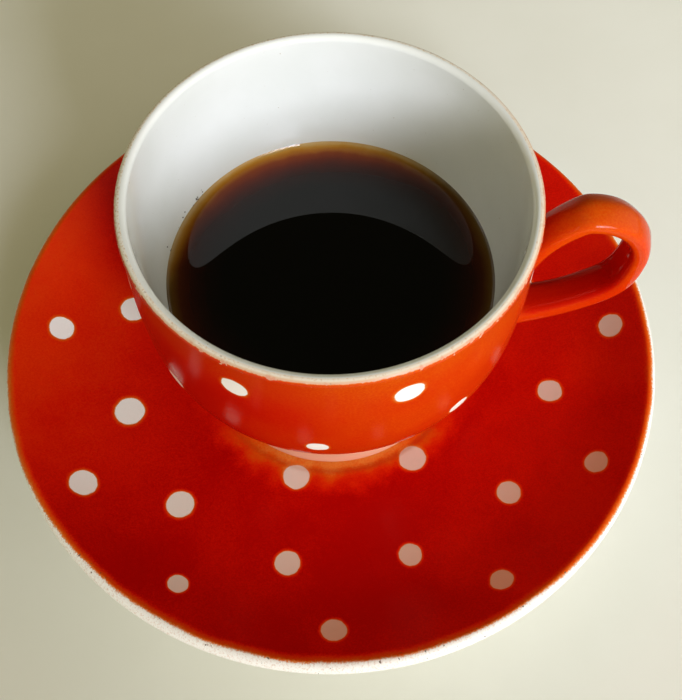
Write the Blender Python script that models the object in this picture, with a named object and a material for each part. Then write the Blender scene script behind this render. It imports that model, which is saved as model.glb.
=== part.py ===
"""A coffee cup with a strap handle, its saucer and the coffee in it.

Lengths are in metres, +Z is up, and the origin is on the table under the cup's middle.
The handle points along +X.
"""
import math

import bmesh
import bpy
from mathutils import Vector
from mathutils.geometry import interpolate_bezier

# Cup: radii and heights above the table
RIM_RADIUS = 0.0400
RIM_HEIGHT = 0.0783
LIP_WIDTH = 0.0023
LIP_ROUND = 0.0013
BELLY_RADIUS = 0.0408
BELLY_HEIGHT = 0.0583
BOWL_RADIUS = 0.0374
BOWL_HEIGHT = 0.0363
BOWL_SLOPE = 246.0
BASE_RADIUS = 0.0284
BASE_HEIGHT = 0.0176
BASE_SLOPE = 222.0
FOOT_RADIUS = 0.0301
FOOT_HEIGHT = 0.0080
FOOT_WAIST = 0.0270
FOOT_WAIST_HEIGHT = 0.0137
FOOT_EDGE = 0.0007
FOOT_RING_WIDTH = 0.0026
FOOT_RECESS = 0.0026
FLOOR_HEIGHT = 0.0155
COFFEE_LEVEL = 0.0479
COFFEE_RADIUS = 0.0355
WALL_SLOPE = 81.0

# Handle: a rounded strap bent in the XZ plane, as (radius, height) and the slope there in degrees
STRAP_WIDTH = 0.0077
STRAP_SWELL = 0.0013
STRAP_THICKNESS = 0.0048
STRAP_ROOT_WIDTH = 0.0125
STRAP_ROOT_THICKNESS = 0.0056
STRAP_SQUARENESS = 2.4
ROOT_QUICKNESS = 6
HANDLE_ROOT = (0.0376, 0.0462)
HANDLE_ROOT_SLOPE = 67.0
HANDLE_SHOULDER = (0.0483, 0.0669)
HANDLE_SHOULDER_SLOPE = 43.0
HANDLE_CROWN = (0.0514, 0.0686)
HANDLE_TIP = (0.0641, 0.0542)
HANDLE_HEEL = (0.0594, 0.0403)
HANDLE_HEEL_SLOPE = 222.0
HANDLE_END = (0.0315, 0.0300)
HANDLE_END_SLOPE = 186.0
ROOT_DEPTH = 0.0015

# Saucer: radii and heights above the table
SAUCER_RADIUS = 0.0780
SAUCER_CREST = 0.0221
CREST_RADIUS = 0.0763
SAUCER_LIP = 0.0019
CREST_SLOPE = 35.0
SEAT_RADIUS = 0.0310
SEAT_STEP = 0.0024
SEAT_RIM_HEIGHT = 0.0083
SEAT_RIM_SLOPE = 9.0
SLOPE_RADIUS = 0.0580
SLOPE_HEIGHT = 0.0125
SLOPE_ANGLE = 13.0
SAUCER_THICKNESS = 0.0043
SAUCER_RING_RADIUS = 0.0440
SAUCER_RING_WIDTH = 0.0028
SAUCER_RING_HEIGHT = 0.0032

# Gaps between pieces, and how finely round things are divided
CLEARANCE = 0.0003
CUP_SEGMENTS = 80
SAUCER_SEGMENTS = 96
COFFEE_SEGMENTS = 64
STRAP_POINTS = 16
QUARTER_PULL = 0.39
MERGE_DISTANCE = 0.00001
SHARP_ANGLE = math.radians(40.0)

WHITE_GLAZE = (0.86, 0.85, 0.80)
RED_GLAZE = (0.55, 0.035, 0.006)
BLACK_COFFEE = (0.018, 0.010, 0.005)


def clear_scene():
    """Take every object out of the scene."""
    for item in list(bpy.data.objects):
        bpy.data.objects.remove(item, do_unlink=True)


def glaze(name, colour, roughness):
    """A glossy finish in one colour."""
    finish = bpy.data.materials.new(name)
    finish.use_nodes = True
    shader = finish.node_tree.nodes["Principled BSDF"]
    shader.inputs["Base Color"].default_value = (*colour, 1.0)
    shader.inputs["Roughness"].default_value = roughness
    shader.inputs["Metallic"].default_value = 0.0
    return finish


def station(radius, height, slope=0.0):
    """One point of a half section, and the direction in which the outline leaves it."""
    angle = math.radians(slope)
    return Vector((radius, 0.0, height)), Vector((math.cos(angle), 0.0, math.sin(angle)))


def flow(stations, steps):
    """A smooth outline through the stations, with so many steps between each pair."""
    points = [stations[0][0]]
    for (start, leave), (end, arrive), count in zip(stations, stations[1:], steps):
        pull = (end - start).length * QUARTER_PULL
        run = interpolate_bezier(start, start + leave * pull, end - arrive * pull, end, count + 1)
        points += run[1:]
    return points


def set_back(points, distance):
    """The same outline moved to the left of its direction of travel."""
    moved = []
    for i, point in enumerate(points):
        before = points[max(i - 1, 0)]
        after = points[min(i + 1, len(points) - 1)]
        along = (after - before).normalized()
        moved.append(point + Vector((-along.z, 0.0, along.x)) * distance)
    moved[0].x = 0.0
    return moved


def turned(name, outline, segments):
    """The solid that an outline makes when it is turned once round the Z axis."""
    mesh = bpy.data.meshes.new(name)
    edges = [(i, i + 1) for i in range(len(outline) - 1)]
    mesh.from_pydata([tuple(p) for p in outline], edges, [])
    piece = bpy.data.objects.new(name, mesh)
    bpy.context.scene.collection.objects.link(piece)
    spin = piece.modifiers.new("turn", "SCREW")
    spin.axis = "Z"
    spin.angle = math.tau
    spin.steps = segments
    spin.render_steps = segments
    spin.use_merge_vertices = True
    spin.merge_threshold = MERGE_DISTANCE
    spin.use_smooth_shade = True
    return piece


def finish_piece(piece, material):
    """Give a piece its finish, and keep only its real corners sharp."""
    piece.data.materials.append(material)
    piece.data.shade_smooth()
    piece.data.set_sharp_from_angle(angle=SHARP_ANGLE)


def tool_only(piece):
    """Mark a piece that only helps to shape another."""
    piece.hide_render = True
    piece.display_type = "WIRE"


def inside_outline():
    """The cup's inside, from the middle of its floor up to the lip."""
    return flow(
        [
            station(0.0, FLOOR_HEIGHT),
            station(COFFEE_RADIUS, COFFEE_LEVEL, WALL_SLOPE),
            station(RIM_RADIUS - LIP_WIDTH, RIM_HEIGHT - LIP_ROUND, 90.0),
        ],
        [8, 3],
    )


def outside_outline():
    """The lip, then the cup's outside down to its foot, and the hollow under it."""
    middle = RIM_RADIUS - LIP_WIDTH / 2
    ring_inside = FOOT_RADIUS - FOOT_EDGE - FOOT_RING_WIDTH
    side = flow(
        [
            station(RIM_RADIUS - LIP_WIDTH, RIM_HEIGHT - LIP_ROUND, 90.0),
            station(middle, RIM_HEIGHT),
            station(RIM_RADIUS, RIM_HEIGHT - LIP_ROUND, 270.0),
            station(BELLY_RADIUS, BELLY_HEIGHT, 270.0),
            station(BOWL_RADIUS, BOWL_HEIGHT, BOWL_SLOPE),
            station(BASE_RADIUS, BASE_HEIGHT, BASE_SLOPE),
            station(FOOT_WAIST, FOOT_WAIST_HEIGHT, 270.0),
            station(FOOT_RADIUS, FOOT_HEIGHT + FOOT_EDGE, 270.0),
            station(FOOT_RADIUS - FOOT_EDGE, FOOT_HEIGHT, 180.0),
        ],
        [3, 3, 3, 4, 4, 2, 4, 2],
    )
    under = flow(
        [
            station(ring_inside, FOOT_HEIGHT, 180.0),
            station(ring_inside - FOOT_RECESS / 2, FOOT_HEIGHT + FOOT_RECESS, 150.0),
            station(0.0, FOOT_HEIGHT + FOOT_RECESS, 180.0),
        ],
        [3, 1],
    )
    return side + under


def strap_size(share):
    """Width and thickness of the strap at a share of its length."""
    root = (2.0 * share - 1.0) ** ROOT_QUICKNESS
    swell = STRAP_SWELL * math.sin(math.pi * share) ** 2
    width = STRAP_WIDTH + swell + (STRAP_ROOT_WIDTH - STRAP_WIDTH) * root
    thickness = STRAP_THICKNESS + (STRAP_ROOT_THICKNESS - STRAP_THICKNESS) * root
    return width, thickness


def strap_ring(centre, along, width, thickness):
    """The strap's rounded section, set square to its direction."""
    across = Vector((-along.z, 0.0, along.x))
    ring = []
    for i in range(STRAP_POINTS):
        angle = math.tau * i / STRAP_POINTS
        side = math.copysign(abs(math.cos(angle)) ** (2.0 / STRAP_SQUARENESS), math.cos(angle))
        rise = math.copysign(abs(math.sin(angle)) ** (2.0 / STRAP_SQUARENESS), math.sin(angle))
        ring.append(centre + Vector((0.0, side * width / 2, 0.0)) + across * (rise * thickness / 2))
    return ring


def make_handle():
    """The strap, bent like an ear, with both ends cut off inside the cup's wall."""
    line = flow(
        [
            station(*HANDLE_ROOT, HANDLE_ROOT_SLOPE),
            station(*HANDLE_SHOULDER, HANDLE_SHOULDER_SLOPE),
            station(*HANDLE_CROWN),
            station(*HANDLE_TIP, 270.0),
            station(*HANDLE_HEEL, HANDLE_HEEL_SLOPE),
            station(*HANDLE_END, HANDLE_END_SLOPE),
        ],
        [7, 3, 7, 6, 7],
    )
    strap = bmesh.new()
    rings = []
    for i, centre in enumerate(line):
        along = (line[min(i + 1, len(line) - 1)] - line[max(i - 1, 0)]).normalized()
        width, thickness = strap_size(i / (len(line) - 1))
        rings.append([strap.verts.new(p) for p in strap_ring(centre, along, width, thickness)])
    for ring, following in zip(rings, rings[1:]):
        for i in range(STRAP_POINTS):
            j = (i + 1) % STRAP_POINTS
            strap.faces.new((ring[i], ring[j], following[j], following[i]))
    strap.faces.new(reversed(rings[0]))
    strap.faces.new(rings[-1])
    bmesh.ops.recalc_face_normals(strap, faces=strap.faces)
    mesh = bpy.data.meshes.new("handle")
    strap.to_mesh(mesh)
    strap.free()
    handle = bpy.data.objects.new("handle", mesh)
    bpy.context.scene.collection.objects.link(handle)
    tool_only(handle)
    return handle


def combine(piece, tool, operation):
    """Add a tool to a piece, or cut the piece with it."""
    step = piece.modifiers.new(operation.lower(), "BOOLEAN")
    step.operation = operation
    step.solver = "EXACT"
    step.object = tool


def make_cup(finish):
    """The cup and its handle, fired as one piece."""
    inside = inside_outline()
    wall_core = set_back(inside, -ROOT_DEPTH)
    core = turned("core", [Vector((0.0, 0.0, wall_core[-1].z))] + wall_core[::-1], CUP_SEGMENTS)
    tool_only(core)
    handle = make_handle()
    combine(handle, core, "DIFFERENCE")
    cup = turned("cup", inside[:-1] + outside_outline(), CUP_SEGMENTS)
    combine(cup, handle, "UNION")
    finish_piece(cup, finish)


def make_saucer(finish):
    """The saucer: a level seat for the cup, a sloping side, a rounded lip and a foot ring."""
    seat_height = FOOT_HEIGHT - CLEARANCE
    seat_rim = SEAT_RADIUS + SEAT_STEP
    top = flow(
        [
            station(0.0, seat_height),
            station(SEAT_RADIUS, seat_height),
            station(seat_rim, SEAT_RIM_HEIGHT, SEAT_RIM_SLOPE),
            station(SLOPE_RADIUS, SLOPE_HEIGHT, SLOPE_ANGLE),
            station(CREST_RADIUS - SAUCER_LIP / 2, SAUCER_CREST - SAUCER_LIP / 4, CREST_SLOPE),
            station(CREST_RADIUS, SAUCER_CREST),
            station(SAUCER_RADIUS, SAUCER_CREST - SAUCER_LIP, 270.0),
            station(CREST_RADIUS, SAUCER_CREST - 2 * SAUCER_LIP, 180.0 + CREST_SLOPE),
        ],
        [1, 2, 4, 5, 1, 2, 2],
    )
    ring_outside = SAUCER_RING_RADIUS
    ring_inside = SAUCER_RING_RADIUS - SAUCER_RING_WIDTH
    slope_under = SLOPE_HEIGHT - SAUCER_THICKNESS
    edge = SAUCER_RING_WIDTH / 4
    bottom = flow(
        [
            station(CREST_RADIUS, SAUCER_CREST - 2 * SAUCER_LIP, 180.0 + CREST_SLOPE),
            station(SLOPE_RADIUS, slope_under, 180.0 + SLOPE_ANGLE),
            station(ring_outside + edge, SAUCER_RING_HEIGHT + 2 * edge, 225.0),
            station(ring_outside, edge, 270.0),
            station(ring_outside - edge, 0.0, 180.0),
        ],
        [3, 2, 1, 1],
    )
    recess = flow(
        [
            station(ring_inside + edge, 0.0, 180.0),
            station(ring_inside, edge, 90.0),
            station(ring_inside - edge, SAUCER_RING_HEIGHT, 135.0),
            station(0.0, SAUCER_RING_HEIGHT, 180.0),
        ],
        [1, 1, 1],
    )
    saucer = turned("saucer", top + bottom[1:] + recess, SAUCER_SEGMENTS)
    finish_piece(saucer, finish)


def make_coffee(finish):
    """The coffee, filling the cup to its level just clear of the wall."""
    inside = [p for p in inside_outline() if p.z <= COFFEE_LEVEL + MERGE_DISTANCE]
    bowl = set_back(inside, CLEARANCE)
    bowl[-1] = Vector((COFFEE_RADIUS - CLEARANCE, 0.0, COFFEE_LEVEL))
    top = Vector((0.0, 0.0, COFFEE_LEVEL))
    coffee = turned("coffee", [top] + bowl[::-1], COFFEE_SEGMENTS)
    finish_piece(coffee, finish)


def main():
    clear_scene()
    red = glaze("red glaze", RED_GLAZE, 0.18)
    make_cup(red)
    make_saucer(red)
    make_coffee(glaze("black coffee", BLACK_COFFEE, 0.05))


main()
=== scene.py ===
# %% [markdown]
# # A dotted cup of black coffee on its saucer
#
# The set on the table is pottery: a cup with a strap handle and a saucer, glazed white,
# then sprayed red outside through a mask that kept round dots white. The cup is half full
# of black coffee. This lesson dresses the plain solids of that set as the finished thing.
#
# The solids arrive first, as a fixed frame. Every later piece is placed against them.

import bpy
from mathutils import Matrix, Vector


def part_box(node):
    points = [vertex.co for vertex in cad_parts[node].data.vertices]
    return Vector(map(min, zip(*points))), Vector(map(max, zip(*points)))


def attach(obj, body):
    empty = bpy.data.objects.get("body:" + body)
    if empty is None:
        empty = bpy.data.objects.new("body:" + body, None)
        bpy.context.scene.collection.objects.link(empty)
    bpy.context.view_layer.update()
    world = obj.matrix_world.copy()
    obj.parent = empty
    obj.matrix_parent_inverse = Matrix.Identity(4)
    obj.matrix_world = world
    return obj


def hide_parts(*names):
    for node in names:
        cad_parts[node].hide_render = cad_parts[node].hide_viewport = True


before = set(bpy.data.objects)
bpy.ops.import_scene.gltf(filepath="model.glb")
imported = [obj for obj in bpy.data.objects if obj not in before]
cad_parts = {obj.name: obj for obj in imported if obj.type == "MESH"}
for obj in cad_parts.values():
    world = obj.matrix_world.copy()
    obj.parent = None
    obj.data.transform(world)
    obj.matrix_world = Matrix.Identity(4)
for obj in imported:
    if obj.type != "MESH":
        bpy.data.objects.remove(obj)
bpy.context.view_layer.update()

# %% [markdown]
# Blender's own modules come next, with two helpers that put new objects into the scene.
# Everything in Blender is in metres, and pottery is thought of in millimetres, so lengths
# below are written as 12 * MM.

# %% Tools for the lesson
import math
import random

import bmesh
import bpy
from mathutils import Matrix, Vector, noise
from mathutils.geometry import interpolate_bezier

MM = 0.001
scene = bpy.context.scene


def link(piece):
    """Put a new object into the scene."""
    scene.collection.objects.link(piece)
    return piece


def made_of(name, form):
    """Turn a bmesh into a mesh object in the scene."""
    mesh = bpy.data.meshes.new(name)
    form.to_mesh(mesh)
    form.free()
    return link(bpy.data.objects.new(name, mesh))


print("one millimetre is", MM, "m")

# %% [markdown]
# ## The camera
#
# The photograph looks down into the cup from close by, so near things are clearly larger
# than far ones. The camera stands 159 mm from the middle of the rim, 53 degrees above the
# table, and is turned a little away from the rim's middle, because the saucer has to fit
# in as well. It could be set by eye. These numbers were fitted to the circles of the rim,
# the coffee and the saucer, in a picture 682 pixels wide and 700 high.

# %% Camera
RIM_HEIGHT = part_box("cup")[1][2]
CAMERA_DISTANCE = 0.15877
CAMERA_ELEVATION = 0.9333
CAMERA_YAW = 0.0115
CAMERA_PITCH = -0.1341
CAMERA_ROLL = 0.0097
PICTURE_HEIGHT = 700.0
FOCAL_PIXELS = 850.0
CENTRE_OFFSET_PIXELS = -50.0
SENSOR_WIDTH = 36.0
NEAREST_SEEN = 0.01


def add_camera():
    """A camera at the photograph's place, looking down at the cup."""
    toward = Vector((0.0, math.cos(CAMERA_ELEVATION), -math.sin(CAMERA_ELEVATION)))
    right = Vector((1.0, 0.0, 0.0))
    facing = Matrix((right, right.cross(toward), toward))
    yaw = Matrix.Rotation(-CAMERA_YAW, 3, "Y")
    pitch = Matrix.Rotation(CAMERA_PITCH, 3, "X")
    roll = Matrix.Rotation(CAMERA_ROLL, 3, "Z")
    across, up, ahead = roll @ pitch @ yaw @ facing
    turn = Matrix((across, up, -ahead)).transposed().to_4x4()
    place = Matrix.Translation(-toward * CAMERA_DISTANCE + Vector((0.0, 0.0, RIM_HEIGHT)))
    camera = link(bpy.data.objects.new("camera", bpy.data.cameras.new("camera")))
    camera.matrix_world = place @ turn
    camera.data.sensor_width = SENSOR_WIDTH
    camera.data.lens = FOCAL_PIXELS / PICTURE_HEIGHT * SENSOR_WIDTH
    camera.data.shift_y = CENTRE_OFFSET_PIXELS / PICTURE_HEIGHT
    camera.data.clip_start = NEAREST_SEEN
    scene.camera = camera
    return camera


camera = add_camera()
print("camera at", [round(v, 4) for v in camera.matrix_world.translation])

# %% [markdown]
# ## Recipes made of nodes
#
# The room's light and every finish below are small trees of shader nodes. They could be
# drawn by hand in the node editor. These helpers add a node, set or connect its inputs and
# give back its output, so that a recipe reads like a sum. A smooth step is called an ease,
# and its numbers are named together: from, to, and the value before and after.

# %% Helpers for node trees


def feed(tree, socket, value):
    """Connect a socket to an output, or set it to a plain value."""
    if isinstance(value, bpy.types.NodeSocket):
        tree.links.new(value, socket)
    else:
        socket.default_value = value


def vector_figure(tree, operation, *values, result="Vector"):
    """A Vector Math node, from its inputs to the output asked for."""
    node = tree.nodes.new("ShaderNodeVectorMath")
    node.operation = operation
    for socket, value in zip(node.inputs, values):
        feed(tree, socket, value)
    return node.outputs[result]


def ease(tree, value, low, high, out_low=0.0, out_high=1.0):
    """A smooth step: out_low below low, out_high above high."""
    node = tree.nodes.new("ShaderNodeMapRange")
    node.interpolation_type = "SMOOTHSTEP"
    for name, setting in zip(("Value", "From Min", "From Max", "To Min", "To Max"),
                             (value, low, high, out_low, out_high)):
        feed(tree, node.inputs[name], setting)
    return node.outputs["Result"]


print("an ease goes from", ease.__defaults__, "unless told otherwise")

# %% [markdown]
# ## Light
#
# One soft light, like a window, stands low at the front right. It fills the far wall of
# the cup, leaves the right wall in shade, and throws the soft shadow to the far left. An
# area light suits it, because its size sets how soft the edge of a shadow is. It is aimed
# past the cup's right side and its beam is narrow, so the table grows darker toward the
# left.

# %% Window
WINDOW_DISTANCE = 0.80
WINDOW_AZIMUTH = math.radians(-57.5)
WINDOW_ELEVATION = math.radians(24.5)
WINDOW_AIM = Vector((0.10, 0.26, 0.0))
WINDOW_WIDTH = 0.37
WINDOW_HEIGHT = 0.29
WINDOW_SPREAD = math.radians(50.0)
WINDOW_POWER = 0.94
WINDOW_COLOUR = (0.94, 0.985, 1.10)


def add_window():
    """A broad soft light with a narrow beam."""
    light = link(bpy.data.objects.new("window", bpy.data.lights.new("window", "AREA")))
    light.data.energy = WINDOW_POWER
    light.data.shape = "RECTANGLE"
    light.data.size = WINDOW_WIDTH
    light.data.size_y = WINDOW_HEIGHT
    light.data.spread = WINDOW_SPREAD
    light.data.color = WINDOW_COLOUR
    toward = Vector((math.cos(WINDOW_AZIMUTH) * math.cos(WINDOW_ELEVATION),
                     math.sin(WINDOW_AZIMUTH) * math.cos(WINDOW_ELEVATION),
                     math.sin(WINDOW_ELEVATION)))
    light.location = toward * WINDOW_DISTANCE + Vector((0.0, 0.0, RIM_HEIGHT / 2))
    light.rotation_euler = (light.location - WINDOW_AIM).to_track_quat("Z", "Y").to_euler()
    return light


window = add_window()
print("window at", [round(v, 3) for v in window.location])

# %% [markdown]
# The room gives the rest of the light, and everything that shines mirrors it. Coffee is a
# mirror: what shows in it is the far wall of the cup and, above that, a dim corner of the
# room. So the room here is warm and even, but for one dark patch behind the cup and a pale
# one at the right. Whole walls and furniture could be built for that, but two soft patches
# say all that the glaze needs.

# %% Room
ROOM_BRIGHTNESS = 0.48
ROOM_COLOUR = (1.0, 0.90, 0.52)
DARK_CORNER = (0.0, 0.6, 0.8)
DARK_CORNER_INNER = math.radians(25.0)
DARK_CORNER_OUTER = math.radians(62.0)
DARK_CORNER_BRIGHTNESS = 0.08
PALE_SIDE = (0.94, -0.26, 0.22)
PALE_SIDE_INNER = math.radians(10.0)
PALE_SIDE_OUTER = math.radians(55.0)
PALE_SIDE_BRIGHTNESS = 0.8
PALE_SIDE_COLOUR = (0.98, 0.98, 0.96)


def patch(tree, direction, inner, outer, within, beyond, colour):
    """Light from round a direction of the room, fading from one strength to another."""
    way = tree.nodes.new("ShaderNodeTexCoord").outputs["Generated"]
    facing = vector_figure(tree, "DOT_PRODUCT", way, direction, result="Value")
    glow = tree.nodes.new("ShaderNodeBackground")
    glow.inputs["Color"].default_value = (*colour, 1.0)
    feed(tree, glow.inputs["Strength"],
         ease(tree, facing, math.cos(outer), math.cos(inner), beyond, within))
    return glow.outputs[0]


def add_room():
    """Warm dim surroundings, darkest where the coffee mirrors them, and paler at the right."""
    room = bpy.data.worlds.new("room")
    scene.world = room
    room.use_nodes = True
    tree = room.node_tree
    dark = patch(tree, DARK_CORNER, DARK_CORNER_INNER, DARK_CORNER_OUTER,
                 DARK_CORNER_BRIGHTNESS, ROOM_BRIGHTNESS, ROOM_COLOUR)
    pale = patch(tree, PALE_SIDE, PALE_SIDE_INNER, PALE_SIDE_OUTER,
                 PALE_SIDE_BRIGHTNESS, 0.0, PALE_SIDE_COLOUR)
    both = tree.nodes.new("ShaderNodeAddShader")
    feed(tree, both.inputs[0], dark)
    feed(tree, both.inputs[1], pale)
    feed(tree, tree.nodes["World Output"].inputs["Surface"], both.outputs[0])
    tree.nodes.remove(tree.nodes["Background"])
    return room


room = add_room()
scene.view_settings.view_transform = "Standard"
print("nodes in the room's light:", len(room.node_tree.nodes))

# %% [markdown]
# ## Finishes
#
# A finish is a tree of nodes that ends in one shader. Places on the object come from the
# Object output of Texture Coordinate: the pieces lie where the set stands, so these are
# metres from the middle of the saucer's foot. Noise that is measured in metres keeps every
# lump and speck at its true size, on whichever piece it lies.

# %% Helpers for finishes


def cloud(tree, place, size, detail=2.0, roughness=0.5, result="Fac"):
    """Soft noise, whose lumps are about as large as size, in metres."""
    node = tree.nodes.new("ShaderNodeTexNoise")
    feed(tree, node.inputs["Vector"], place)
    node.inputs["Scale"].default_value = 1.0 / size
    node.inputs["Detail"].default_value = detail
    node.inputs["Roughness"].default_value = roughness
    return node.outputs[result]


def shades(tree, value, stops):
    """A colour ramp: stops are (position, (red, green, blue))."""
    node = tree.nodes.new("ShaderNodeValToRGB")
    feed(tree, node.inputs["Fac"], value)
    ramp = node.color_ramp
    while len(ramp.elements) < len(stops):
        ramp.elements.new(1.0)
    for element, (position, colour) in zip(ramp.elements, stops):
        element.position = position
        element.color = (*colour, 1.0)
    return node.outputs["Color"]


def relief(tree, height, distance, under=None):
    """A Bump node: height from 0 to 1 stands for so many metres."""
    node = tree.nodes.new("ShaderNodeBump")
    feed(tree, node.inputs["Height"], height)
    node.inputs["Strength"].default_value = 1.0
    node.inputs["Distance"].default_value = distance
    if under is not None:
        tree.links.new(under, node.inputs["Normal"])
    return node.outputs["Normal"]


def new_finish(name):
    """An empty finish: its tree, its shader and the place on the object."""
    finish = bpy.data.materials.new(name)
    finish.use_nodes = True
    tree = finish.node_tree
    shader = tree.nodes["Principled BSDF"]
    place = tree.nodes.new("ShaderNodeTexCoord").outputs["Object"]
    return finish, tree, shader, place


print("a cloud has detail and roughness", cloud.__defaults__[:2], "unless told otherwise")

# %% [markdown]
# ## The table
#
# The table is plain and pale. Its paint still has a trace of unevenness, which keeps the
# soft shadow from looking like a computed gradient. One face is enough for it, because
# the unevenness is in its finish.

# %% Table
TABLE_HALF = 1.6
TABLE_SHADES = [(0.3, (0.83, 0.82, 0.73)), (0.7, (0.855, 0.845, 0.76))]
TABLE_ROUGHNESS = 0.6
TABLE_GLOSS = 0.25
MOTTLE = (30 * MM, 4.0)
BRUSH_MARKS = (2 * MM, 3.0)
BRUSH_DEPTH = 0.02 * MM


def table_finish():
    """Pale matt paint with a faint mottle."""
    finish, tree, shader, place = new_finish("table_paint")
    mottle = cloud(tree, place, *MOTTLE)
    feed(tree, shader.inputs["Base Color"], shades(tree, mottle, TABLE_SHADES))
    shader.inputs["Roughness"].default_value = TABLE_ROUGHNESS
    shader.inputs["Specular IOR Level"].default_value = TABLE_GLOSS
    brush = cloud(tree, place, *BRUSH_MARKS)
    feed(tree, shader.inputs["Normal"], relief(tree, brush, BRUSH_DEPTH))
    return finish


def add_table():
    """A wide flat sheet at the height of the saucer's foot ring."""
    sheet = bmesh.new()
    bmesh.ops.create_grid(sheet, x_segments=1, y_segments=1, size=TABLE_HALF)
    return made_of("table", sheet)


table = add_table()
table.data.materials.append(table_finish())
print("table:", 2 * TABLE_HALF, "m square")

# %% [markdown]
# ## Outlines
#
# Cup and saucer are turned on a wheel, so each is an outline spun round the middle. The
# outlines are the frame's own, drawn with more steps, so the curve shows no facets. An
# outline is a list of stations: a radius, a height and the direction in which the line
# leaves it. Cubic curves join them, as a potter's rib would. Each is pulled along its
# directions for 0.39 of the way, which makes a quarter turn very nearly round.

# %% Helpers for outlines
QUARTER_PULL = 0.39
FINENESS = 6


def station(radius, height, slope=0.0):
    """One point of an outline, and its direction in degrees."""
    angle = math.radians(slope)
    return Vector((radius, 0.0, height)), Vector((math.cos(angle), 0.0, math.sin(angle)))


def flow(stations, steps):
    """A smooth outline through the stations."""
    points = [stations[0][0]]
    for (start, leave), (end, arrive), count in zip(stations, stations[1:], steps):
        pull = (end - start).length * QUARTER_PULL
        run = interpolate_bezier(start, start + leave * pull, end - arrive * pull, end,
                                 count * FINENESS + 1)
        points += run[1:]
    return points


print("steps on each stretch of an outline:", FINENESS)

# %% [markdown]
# The Screw modifier could spin an outline. Here the rings of points are laid one by one
# instead, so that each can waver a little, as thrown pottery does, and so that each stretch
# of an outline can carry a finish of its own.

# %% Helper for turning
ON_AXIS = 1e-6
LUMPS_PER_METRE = 28.0


def turned(name, parts, segments, waver=0.0):
    """Spin an outline. parts are (points, finish number); waver is the hand's unevenness."""
    form = bmesh.new()
    outline, slots = [], []
    for points, slot in parts:
        outline += points if not outline else points[1:]
        slots += [slot] * (len(outline) - 1 - len(slots))
    rings = []
    for point in outline:
        around = segments if point.x > ON_AXIS else 1
        ring = []
        for i in range(around):
            angle = math.tau * i / segments
            way = Vector((math.cos(angle), math.sin(angle), 0.0))
            rise = Vector((0.0, 0.0, point.z))
            lump = noise.noise((way * point.x + rise) * LUMPS_PER_METRE)
            radius = point.x - waver * (0.5 + 0.5 * lump)
            ring.append(form.verts.new(way * radius + rise))
        rings.append(ring)
    for slot, upper, lower in zip(slots, rings, rings[1:]):
        for i in range(segments):
            j = i + 1
            corners = [upper[i % len(upper)], lower[i % len(lower)],
                       lower[j % len(lower)], upper[j % len(upper)]]
            face = form.faces.new(list(dict.fromkeys(corners)))
            face.smooth = True
            face.material_index = slot
    bmesh.ops.recalc_face_normals(form, faces=form.faces)
    return made_of(name, form)


print("a turned piece wavers in lumps of about", round(1000 / LUMPS_PER_METRE), "mm")

# %% [markdown]
# ## Where the dots are
#
# The dots sit in rings, eight or twelve to a ring, each ring staggered against the next.
# They were masked by hand, so they stray and differ in size. A rule alone would look too
# neat, so the dots that the photograph shows stand where it shows them, and the rule goes
# on from there, with the same wandering. Each dot is a radius or a height, an angle round
# the cup's middle, and a width, in millimetres and degrees.

# %% Dots
SAUCER_RINGS = {
    "seat": [(34.8, 255.3, 6.3), (35.1, 302.9, 6.5)],
    "middle": [(52.4, 168.3, 6.6), (52.4, 199.6, 7.2), (53.9, 229.1, 6.5), (55.3, 259.2, 5.7),
               (55.6, 287.8, 5.2), (56.4, 316.0, 5.5), (55.3, 345.5, 5.8)],
    "rim": [(67.5, 177.6, 6.2), (67.7, 212.9, 6.5), (68.2, 240.5, 4.6), (69.3, 269.8, 5.5),
            (69.6, 301.0, 5.1), (69.2, 330.7, 5.4), (69.5, 0.9, 6.0), (66.5, 139.0, 5.6)],
}
SAUCER_COUNTS = {"seat": 8, "middle": 12, "rim": 12}
BARE_PLACES = {"seat": 210.2}
CUP_BANDS = {
    "upper": [(69.6, 245.0, 5.3), (69.8, 289.4, 5.8), (69.7, 340.0, 5.2)],
    "lower": [(50.5, 220.5, 4.6), (49.5, 265.8, 4.5), (49.4, 307.6, 4.6)],
    "base": [(29.5, 244.0, 4.2)],
}
CUP_COUNTS = {"upper": 8, "lower": 8, "base": 8}
FREE_SHARE = 0.6
PLACE_STRAY = (-0.5, 0.5)
ANGLE_STRAY = (-1.5, 1.5)
WIDTH_STRAY = (-0.3, 0.6)
wander = random.Random(7)


def whole_rings(rings, counts):
    """The dots that show in each ring, then the rest at equal steps round what is taken."""
    dots = []
    for name, shown in rings.items():
        step = 360.0 / counts[name]
        place, start, width = shown[0]
        taken = [dot[1] for dot in shown] + [BARE_PLACES.get(name, start)]
        dots += shown
        for i in range(1, counts[name]):
            angle = (start + i * step) % 360.0
            gaps = [abs((angle - other + 180.0) % 360.0 - 180.0) for other in taken]
            if min(gaps) > FREE_SHARE * step:
                dots.append((place + wander.uniform(*PLACE_STRAY),
                             angle + wander.uniform(*ANGLE_STRAY),
                             width + wander.uniform(*WIDTH_STRAY)))
    return dots


saucer_dots = whole_rings(SAUCER_RINGS, SAUCER_COUNTS)
cup_dots = whole_rings(CUP_BANDS, CUP_COUNTS)
print("dots on the saucer:", len(saucer_dots), "on the cup:", len(cup_dots))

# %% [markdown]
# ## Glazes
#
# White glaze is the ground: glossy, faintly uneven, a little warm. The red is a second
# colour sprayed over it, and its look comes from how thickly it lies. A full coat is deep
# red, a thin one is orange, a trace is peach, and the white shows through where there is
# none. So one number, the coat, makes the red field, the dots with their thin halos, the
# worn lip and the blotches round the foot.

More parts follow.
